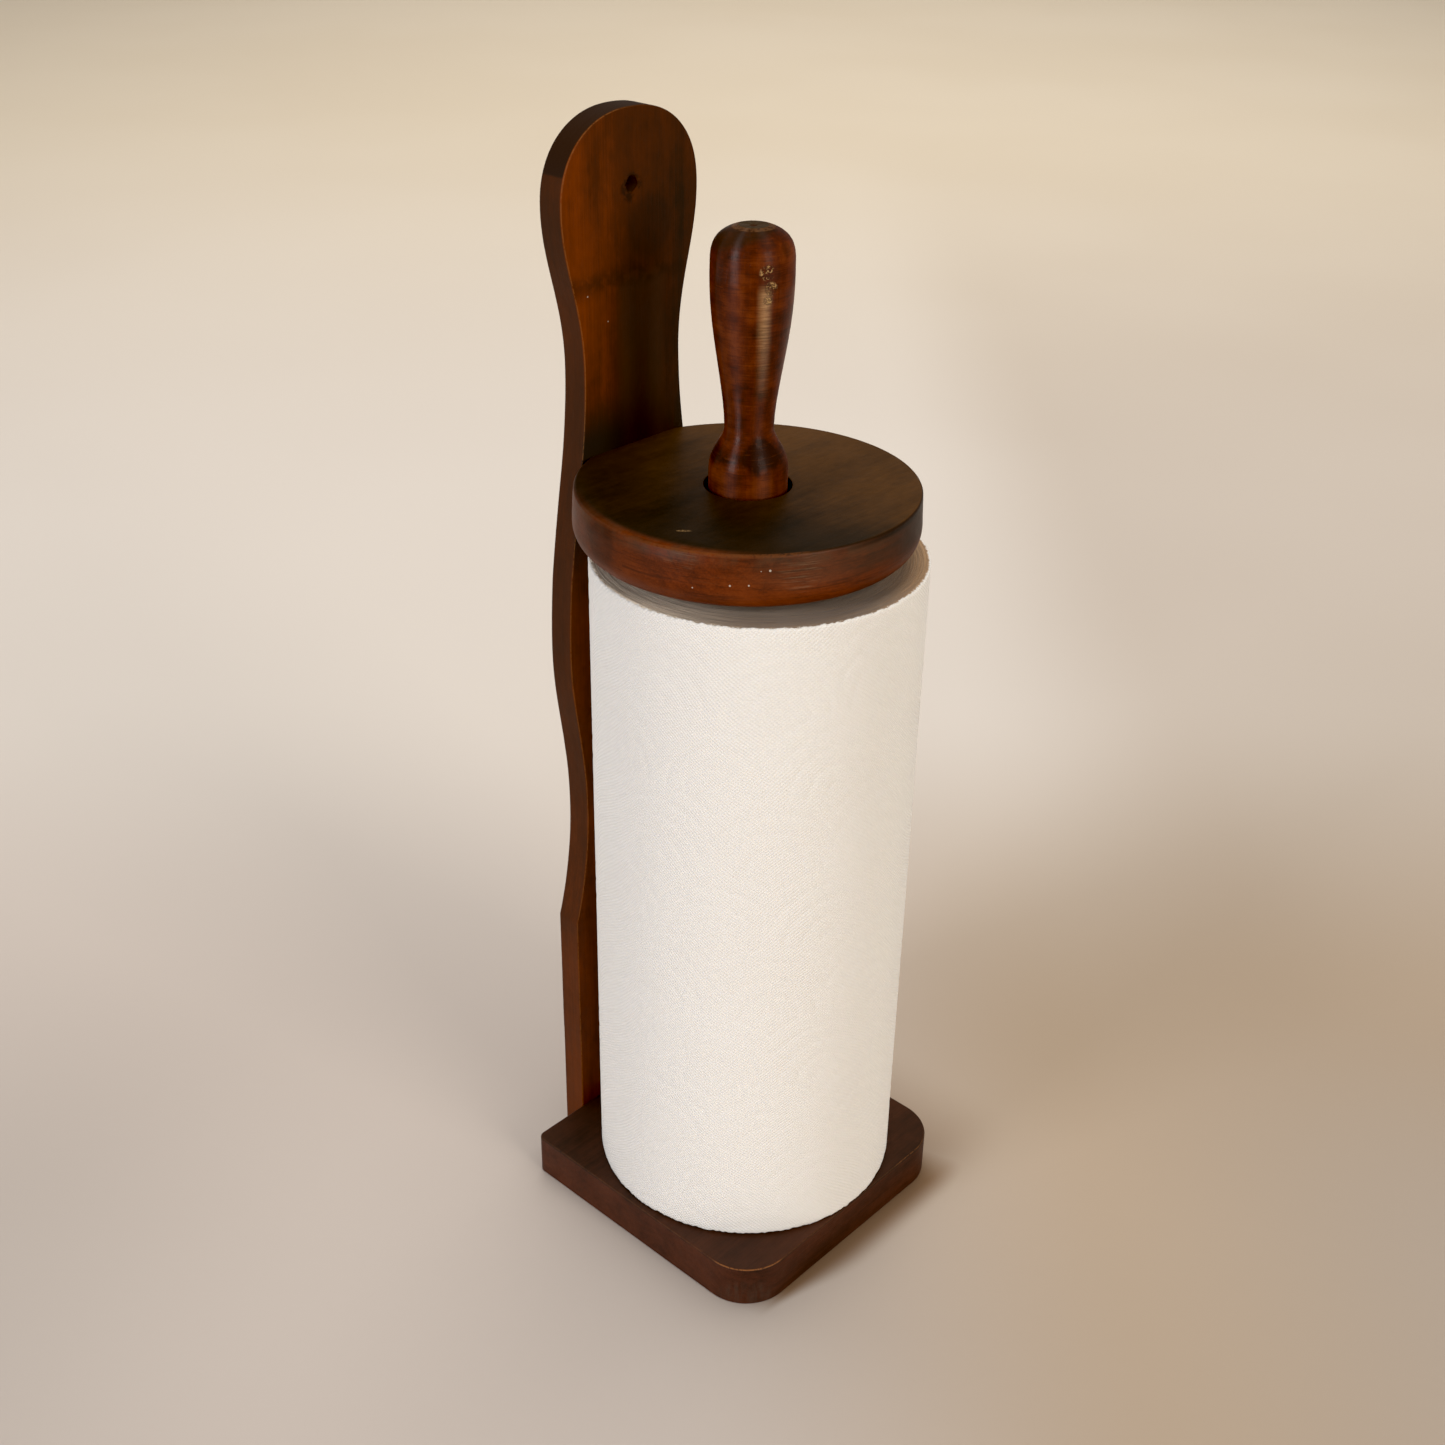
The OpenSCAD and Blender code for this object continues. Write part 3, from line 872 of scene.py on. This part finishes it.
class Plank:
    """A flat board cut to an outline, with eased edges and drilled holes.
    place(u, v, w) turns outline coordinates and the height through the board into a point."""

    def __init__(self, place, thickness):
        self.bm = bmesh.new()
        self.wear = self.bm.verts.layers.float.new("wear")
        self.place = place
        self.thickness = thickness
        self.caps = {0: [], 1: []}

    def rings(self, points, steps, caps):
        """Skins rings of one outline. The first and last ring each open into the face named in caps,
        0 for the low one and 1 for the high one, or are closed off where caps says None."""
        normals = inward(points)
        rows = []
        for inset, height, wear in steps:
            row = []
            for p, n in zip(points, normals):
                u, v = p + n * inset
                vert = self.bm.verts.new(self.place(u, v, height))
                vert[self.wear] = wear
                row.append(vert)
            rows.append(row)
        for low, high in zip(rows, rows[1:]):
            skin(self.bm, low, high)
        for cap, row in zip(caps, (rows[0], rows[-1])):
            if cap is None:
                self.bm.faces.new(row)
            else:
                self.caps[cap].append(row)

    def cap(self, side):
        edges = []
        for row in self.caps[side]:
            edges += [self.bm.edges.get((row[i], row[(i + 1) % len(row)])) for i in range(len(row))]
        bmesh.ops.triangle_fill(self.bm, use_beauty=True, use_dissolve=False, edges=edges)

    def mesh(self, name):
        for side in self.caps:
            if self.caps[side]:
                self.cap(side)
        bmesh.ops.recalc_face_normals(self.bm, faces=self.bm.faces)
        return mesh_of(self.bm, name)


def round_loop(loop):
    """The centre and radius of a round outline."""
    centre = loop.mean(0)
    return centre, float(np.linalg.norm(loop - centre, axis=1).mean())


def circle(centre, radius, count):
    x, y = centre
    angles = [2 * math.pi * i / count for i in range(count)]
    return np.array([[x + radius * math.cos(a), y + radius * math.sin(a)] for a in angles])


def uneven(points, amount, grain_mm, seed):
    """Hand-cut wobble: moves outline points in or out a little, over long stretches."""
    normals = inward(points)
    moved = []
    for p, n in zip(points, normals):
        wave = noise.noise(Vector((p[0] / (grain_mm * MM), p[1] / (grain_mm * MM), seed)))
        moved.append(p + n * (abs(wave) * amount))
    return np.array(moved)


def back_board(material):
    thickness = BOARD_HI.y - BOARD_LO.y
    front_loops = loops_of("back_board", 1, BOARD_LO.y)
    back_loops = loops_of("back_board", 1, BOARD_HI.y)
    plank = Plank(lambda u, v, w: Vector((u, BOARD_LO.y + w, v)), thickness)
    outline = resample(front_loops[0], OUTLINE_STEP)
    outline = uneven(outline, amount=0.15 * MM, grain_mm=24, seed=1.5)
    plank.rings(outline, ring_steps(thickness, r_low=0.55 * MM, r_high=0.6 * MM), (0, 1))

    # the hanging hole goes right through, and its rims are softened with use
    hole_x, _, hole_z = HANG_HOLE["pos_m"]
    rim = circle((hole_x, hole_z), HANG_HOLE["dims"]["r_mm"] * MM, 48)
    rim = uneven(rim, amount=0.7 * MM, grain_mm=2.2, seed=9.5)
    ease = 0.2 * MM
    outside = -ease - 0.6 * MM
    steps = [(outside, 0.0, 0.3), (-ease, 0.0, 0.8)]
    for a in map(math.radians, (30, 60, 90)):
        steps.append((-ease * (1 - math.sin(a)), ease * (1 - math.cos(a)), 0.9))
    for t in (0.33, 0.66):
        steps.append((0.0, thickness - ease - (thickness - 2 * ease) * (1 - t), 0.2))
    for a in map(math.radians, (0, 30, 60)):
        steps.append((-ease * (1 - math.cos(a)), thickness - ease * (1 - math.sin(a)), 0.9))
    steps += [(-ease, thickness, 0.8), (outside, thickness, 0.3)]
    plank.rings(rim, steps, (0, 1))

    # the screw holes go through as well, countersunk from the back
    for loop in back_loops[1:]:
        centre, reach = round_loop(loop)
        if abs(centre[1] - hole_z) < 0.01:
            continue
        bore = min(r for c, r in map(round_loop, front_loops[1:]) if np.linalg.norm(c - centre) < reach)
        sunk = thickness - 0.6 * MM
        cone = reach - bore
        steps = [(0.0, thickness, 0.5), (0.0, sunk, 0.3), (cone, sunk - cone, 0.0), (cone, 0.0, 0.0)]
        plank.rings(circle(centre, reach, 40), steps, (1, 0))
    mesh = plank.mesh("back_board")
    return new_piece("board_wood", mesh, material, "stand", "back_board")


def base_plank(material):
    thickness = BASE_HI.z - BASE_LO.z
    loops = loops_of("base_plank", 2, BASE_HI.z)
    plank = Plank(lambda u, v, w: Vector((u, v, BASE_LO.z + w)), thickness)
    outline = resample(loops[0], OUTLINE_STEP, corner_deg=30)
    outline = uneven(outline, amount=0.12 * MM, grain_mm=30, seed=4.5)
    plank.rings(outline, ring_steps(thickness, r_low=0.6 * MM, r_high=0.8 * MM), (0, 1))
    # the blind socket that the spindle stands in
    centre, radius = round_loop(loops[1])
    floor_z = SPINDLE_LO.z - BASE_LO.z
    steps = [(-0.8 * MM, thickness, 0.3), (-0.3 * MM, thickness, 0.8), (0.0, thickness - 0.3 * MM, 0.8),
             (0.0, thickness - 2.0 * MM, 0.0), (0.0, floor_z, 0.0), (radius * 0.5, floor_z, 0.0),
             (radius * 0.97, floor_z, 0.0)]
    plank.rings(circle(centre, radius, 72), steps, (1, None))
    mesh = plank.mesh("base_plank")
    return new_piece("base_wood", mesh, material, "stand", "base_plank")


def turned(profile, wear, count, closed):
    """A lathe shape around the Z axis from (radius, height) points, with a wear value for each."""
    bm = bmesh.new()
    layer = bm.verts.layers.float.new("wear")
    rows = []
    for (r, z), w in zip(profile, wear):
        if r < 1e-7:
            vert = bm.verts.new((0, 0, z))
            vert[layer] = w
            rows.append([vert])
            continue
        row = []
        for i in range(count):
            a = 2 * math.pi * i / count
            vert = bm.verts.new((r * math.cos(a), r * math.sin(a), z))
            vert[layer] = w
            row.append(vert)
        rows.append(row)
    pairs = list(zip(rows, rows[1:]))
    if closed:
        pairs.append((rows[-1], rows[0]))
    for low, high in pairs:
        skin(bm, low, high)
    bmesh.ops.recalc_face_normals(bm, faces=bm.faces)
    return bm


def arc_points(cx, cz, r, a0, a1, steps):
    angles = [math.radians(a0 + (a1 - a0) * i / steps) for i in range(steps + 1)]
    return [(cx + r * math.cos(a), cz + r * math.sin(a)) for a in angles]


def profile_of(node):
    """The turned outline of a CAD node about the Z axis: its largest radius at each height, low to high.
    Only its front half counts, because the disc is cut flat at the back."""
    mesh = frame["nodes"][node].data
    best = {}
    for v in mesh.vertices:
        if v.co.y > 0:
            continue
        key = round(v.co.z / MM, 2)
        best[key] = max(best.get(key, 0.0), math.hypot(v.co.x, v.co.y))
    return [(best[k], k * MM) for k in sorted(best)]


def smooth_profile(points, spacing):
    """Evenly spaced points on a smooth curve through a profile, straight across its flat ends."""
    result = []
    last = len(points) - 1
    for i in range(last):
        p = [np.array(points[min(max(i + k, 0), last)]) for k in (-1, 0, 1, 2)]
        chord = np.linalg.norm(p[2] - p[1])
        before, after = np.linalg.norm(p[1] - p[0]), np.linalg.norm(p[3] - p[2])
        t1 = (p[2] - p[0]) / max(chord + before, 1e-9) * chord
        t2 = (p[3] - p[1]) / max(chord + after, 1e-9) * chord
        if chord > 6 * max(min(before, after), 1e-9) or i < 2:
            t1 = t2 = p[2] - p[1]
        steps = max(1, int(round(chord / spacing)))
        result += [tuple(curve_point(p[1], t1, p[2], t2, k / steps)) for k in range(steps)]
    result.append(points[last])
    return result


# Up to this height above its foot the spindle is left exactly round
DOWEL_LENGTH = 0.31


def spindle(material):
    outline = profile_of("spindle")
    rim_r, top = outline[-1]
    profile = [(0.0, SPINDLE_LO.z)] + smooth_profile(outline, 0.7 * MM)
    # a rim and a shallow dimple, where the lathe's centre held the blank
    profile[-1] = (rim_r + 0.1 * MM, top - 0.25 * MM)
    profile += [(rim_r - 0.25 * MM, top), (rim_r - 0.9 * MM, top - 0.02 * MM),
                (1.6 * MM, top - 0.1 * MM), (0.9 * MM, top - 0.5 * MM), (0.0, top - 1.1 * MM)]
    wear = []
    for r, z in profile:
        at_rim = abs(z - top) < 0.6 * MM and r > rim_r - 0.5 * MM
        wear.append(1.0 if at_rim else 0.0)
    bm = turned(profile, wear, 128, False)
    # a hand-turned shape is never quite round
    for v in bm.verts:
        if v.co.z > SPINDLE_LO.z + DOWEL_LENGTH:
            lump = noise.noise(v.co * 45.0) * 0.12 * MM
            lump += noise.noise(Vector((0.0, 0.0, v.co.z / (0.9 * MM)))) * 0.03 * MM
            flat = Vector((v.co.x, v.co.y, 0))
            if flat.length > 1 * MM:
                v.co += flat.normalized() * lump
    mesh = mesh_of(bm, "spindle")
    return new_piece("spindle_wood", mesh, material, "spindle", "spindle")


# The worn stretch of the disc's top edge: how deep, how far over the arris, and where around it
WORN_DEPTH, WORN_REACH = 1.15 * MM, 3.2 * MM
WORN_MIDDLE, WORN_SPREAD = -175, 38


def soften_arris(bm, rim_r, high):
    """Rounds the top edge over more at the left, where hands have worn it."""
    for v in bm.verts:
        radius = math.hypot(v.co.x, v.co.y)
        away = math.hypot(radius - rim_r, v.co.z - high) / WORN_REACH
        turn = (math.degrees(math.atan2(v.co.y, v.co.x)) - WORN_MIDDLE) % 360
        turn = min(turn, 360 - turn) / WORN_SPREAD
        amount = WORN_DEPTH * math.exp(-away ** 2) * math.exp(-turn ** 2)
        if amount > 1e-6:
            v.co.x *= 1 - amount / radius
            v.co.y *= 1 - amount / radius
            v.co.z -= amount * 0.8


def top_disc(material):
    outline = profile_of("top_disc")
    hole_r = min(math.hypot(v.co.x, v.co.y) for v in frame["nodes"]["top_disc"].data.vertices)
    low, high = DISC_LO.z, DISC_HI.z
    ease = 0.5 * MM
    rounded = smooth_profile(outline, 0.8 * MM)
    profile = [(hole_r, low + ease)] + arc_points(hole_r + ease, low + ease, ease, 225, 270, 2)
    wear = [0.3] * len(profile)
    for r in np.arange(hole_r / MM + 3, outline[0][0] / MM, 3.0):
        profile.append((r * MM, low))
        wear.append(0.0)
    profile += rounded
    wear += [1.0 if z > high - 1.3 * MM else 0.0 for r, z in rounded]
    rim_r = profile[-1][0]
    for inset, w in ((0.4, 0.6), (0.9, 0.3), (1.6, 0.1), (2.4, 0.0), (3.4, 0.0), (4.5, 0.0), (5.6, 0.0)):
        profile.append((rim_r - inset * MM, high))
        wear.append(w)
    for r in np.arange(rim_r / MM - 7.5, hole_r / MM + 2, -3.0):
        profile.append((r * MM, high))
        wear.append(0.0)
    profile += [(hole_r + 1.0 * MM, high)] + arc_points(hole_r + ease, high - ease, ease, 90, 180, 3)
    wear += [0.3] + [0.9] * 4
    for t in (0.3, 0.6):
        profile.append((hole_r, high - ease - (high - low) * t))
        wear.append(0.0)
    bm = turned(profile, wear, 256, True)
    soften_arris(bm, rim_r, high)
    # it is cut flat where it meets the board
    cut = bmesh.ops.bisect_plane(bm, geom=bm.verts[:] + bm.edges[:] + bm.faces[:], dist=1e-7,
                                 plane_co=(0, BOARD_LO.y - 0.02 * MM, 0), plane_no=(0, 1, 0),
                                 clear_outer=True)
    edges = [e for e in cut["geom_cut"] if isinstance(e, bmesh.types.BMEdge)]
    bmesh.ops.triangle_fill(bm, use_beauty=True, edges=edges)
    bmesh.ops.recalc_face_normals(bm, faces=bm.faces)
    for edge in edges:
        if edge.is_valid:
            edge.smooth = False
    mesh = mesh_of(bm, "top_disc")
    return new_piece("disc_wood", mesh, material, "stand", "top_disc")


# ---------------------------------------------------------------- the paper roll

SHEET = 0.35 * MM
# where the sheet ends, and the share of a turn over which its edge steps down
TAIL_ANGLE, TAIL_STEP = math.radians(28), 0.004
# the quilting: fans of this width and height, with creases this far apart and this deep
FAN_W, FAN_H, CREASE_GAP, CREASE_DEPTH = 46.0 * MM, 33.0 * MM, 7.5 * MM, 0.15 * MM
COLUMNS, SIDE_ROWS = 720, 240
# the straight part of the side ends this far from the ends of the roll
RIM_ROOM = 1.5 * MM


def quilt(around, z):
    """Height of the quilting, from 0 in its creases to 1: overlapping fans pressed into the sheet."""
    row = math.floor(z / FAN_H)
    u = (around / FAN_W + 0.5 * (row % 2)) % 1.0 - 0.5
    v = z / FAN_H - row
    ring = math.hypot(u * FAN_W, v * FAN_H) / CREASE_GAP
    return 1 - math.exp(-((ring % 1.0 - 0.5) / 0.13) ** 2)


def noise_at(x, y, z):
    return noise.noise(Vector((x, y, z)))


def paper_roll(material):
    """A wound roll: a spiral outside with a loose tail, quilted sheets, and layered, frayed ends."""
    cx, cy = ROLL_AXIS
    low, high = ROLL_LO.z, ROLL_HI.z
    bm = bmesh.new()
    bore = CORE_R + 0.05 * MM
    rows = []

    def outer(angle, z):
        """The outside radius. It steps down at the sheet's end, and is slightly out of round."""
        turn = ((angle - TAIL_ANGLE) / (2 * math.pi)) % 1.0
        step = SHEET * (turn - 1) if turn > TAIL_STEP else -SHEET * (1 - (TAIL_STEP - turn) / TAIL_STEP)
        limp = noise_at(math.cos(angle) * 1.3, math.sin(angle) * 1.3, z * 9) * 0.14 * MM
        press = (quilt(angle * ROLL_R, z) - 1) * CREASE_DEPTH
        return ROLL_R + step + press - 0.2 * MM + limp

    def ring(radius_at, z_at):
        row = []
        for i in range(COLUMNS):
            a = 2 * math.pi * i / COLUMNS
            r = radius_at(a)
            row.append(bm.verts.new((cx + r * math.cos(a), cy + r * math.sin(a), z_at(a, r))))
        rows.append(row)

    def end_height(edge, sign):
        """The uneven face of an end. sign is 1 at the upper end and -1 at the lower one."""
        def height(a, r):
            layers = math.sin(r / (0.9 * MM) * 2 * math.pi + a)
            frayed = noise_at(r / (0.8 * MM), a * 7, 3.0 * sign)
            dish = noise_at(r / (9 * MM), math.cos(a), math.sin(a))
            return edge - sign * MM * (0.32 + 0.1 * layers + 0.14 * frayed + 0.16 * dish)
        return height

    def rim_height(edge, sign):
        """The frayed rim around an end."""
        def height(a, r):
            frayed = noise_at(math.cos(a) * 36, math.sin(a) * 36, 0.7 * sign)
            wave = noise_at(math.cos(a) * 2.5, math.sin(a) * 2.5, 5.0 * sign)
            return edge - sign * MM * (0.46 + 0.62 * frayed + 0.2 * wave)
        return height

    # the rings of an end lie 1 mm apart, and closer near its rim
    fine_from = ROLL_MM - 9
    ends = [*np.arange(bore / MM, fine_from, 1.0), *np.arange(fine_from, ROLL_MM - 1.1, 0.4)]
    ring(lambda a: bore, lambda a, r: high - 3 * MM)
    ring(lambda a: bore, lambda a, r: low + 3 * MM)
    for r0 in ends:
        ring(lambda a, r0=r0: r0 * MM, end_height(low, -1))
    for inset in (0.75, 0.4):
        ring(lambda a, k=inset: outer(a, low) - k * MM, rim_height(low - (0.75 - inset) * 0.1 * MM, -1))
    ring(lambda a: outer(a, low) - 0.12 * MM, lambda a, r: rim_height(low, -1)(a, r) + 0.16 * MM)
    for k in range(SIDE_ROWS + 1):
        z = low + RIM_ROOM + (high - low - 2 * RIM_ROOM) * k / SIDE_ROWS
        ring(lambda a, z=z: outer(a, z), lambda a, r, z=z: z)
    ring(lambda a: outer(a, high) - 0.12 * MM, lambda a, r: rim_height(high, 1)(a, r) - 0.16 * MM)
    for inset in (0.4, 0.75):
        ring(lambda a, k=inset: outer(a, high) - k * MM, rim_height(high, 1))
    for r0 in ends[::-1]:
        ring(lambda a, r0=r0: r0 * MM, end_height(high, 1))
    for lower, upper in zip(rows, rows[1:] + rows[:1]):
        skin(bm, lower, upper)
    bmesh.ops.recalc_face_normals(bm, faces=bm.faces)
    mesh = mesh_of(bm, "paper_roll")
    return new_piece("paper_sheets", mesh, material, "roll", "paper_roll", 70)


# ---------------------------------------------------------------- carried-over CAD nodes

def dress(node, material, bevel):
    """Gives a CAD node its material and slightly softened edges."""
    piece = frame["nodes"][node]
    piece.data.materials.clear()
    piece.data.materials.append(material)
    ease = piece.modifiers.new("ease", "BEVEL")
    ease.width = bevel
    ease.segments = 3
    ease.limit_method = "ANGLE"
    ease.angle_limit = math.radians(40)
    piece.data.shade_smooth()


def add_floor():
    mesh = bpy.data.meshes.new("floor")
    half = 6.0
    corners = [(-half, -half, 0), (half, -half, 0), (half, half, 0), (-half, half, 0)]
    mesh.from_pydata(corners, [], [(0, 1, 2, 3)])
    mesh.materials.append(floor_material())
    floor = add_object("floor", mesh)


add_camera()
add_lights()
add_floor()
set_tones()

base_plank(base_material())
back_board(board_material())
top_disc(disc_material())
spindle(spindle_material())
paper_roll(paper_material())
dress("cardboard_core", cardboard_material(), 0.15 * MM)
brass = brass_material()
dress("base_screws", brass, 0.12 * MM)
dress("disc_screws", brass, 0.12 * MM)
